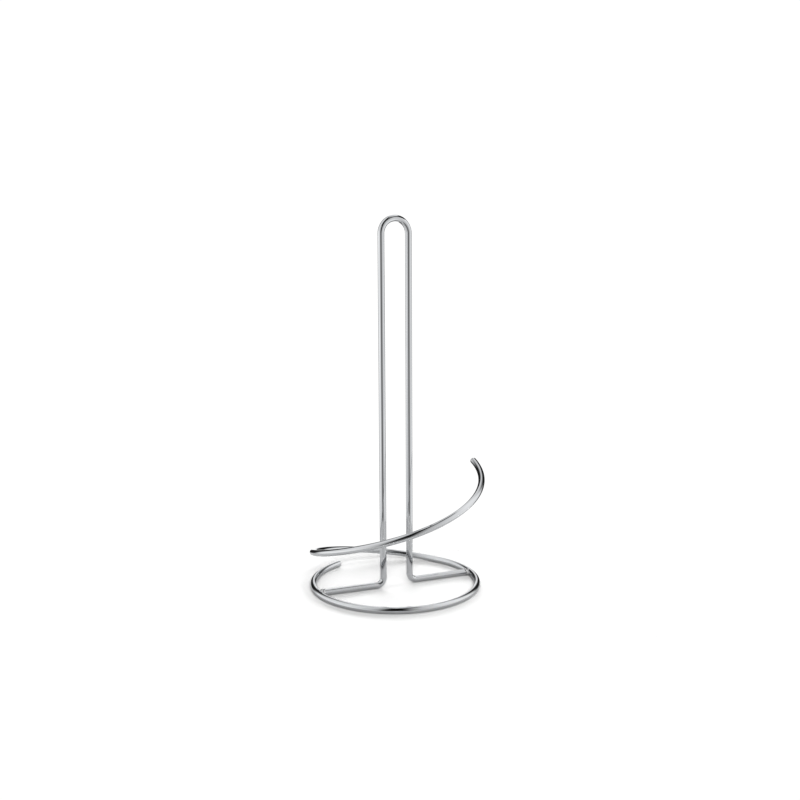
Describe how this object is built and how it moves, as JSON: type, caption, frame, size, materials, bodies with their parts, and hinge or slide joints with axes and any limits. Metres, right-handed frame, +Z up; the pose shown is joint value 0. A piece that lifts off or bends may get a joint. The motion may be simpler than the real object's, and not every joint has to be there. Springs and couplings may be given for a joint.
{
  "type": "paper towel holder",
  "caption": "Free-standing bent-wire paper towel holder: ring base that rises into a curved roll-stop arm, with a tall narrow wire loop as its mast.",
  "frame": {"origin": "centre of the base ring, on the surface that the holder stands on", "axes": "+Z up, along the mast. +X along the plane of the mast's two legs. -Y is the front, where the roll-stop arm crosses in front of the mast"},
  "size_m": [0.156, 0.1496, 0.3212],
  "materials": {
    "chromed_wire": "bright chrome plate on drawn steel wire",
    "chromed_weld": "bright chrome plate over lightly lumpy weld metal"
  },
  "bodies": {
    "root": {"base_and_arm_wire": "chromed_wire", "mast_wire": "chromed_wire", "left_foot_weld": "chromed_weld", "right_foot_weld": "chromed_weld"}
  },
  "joints": []
}
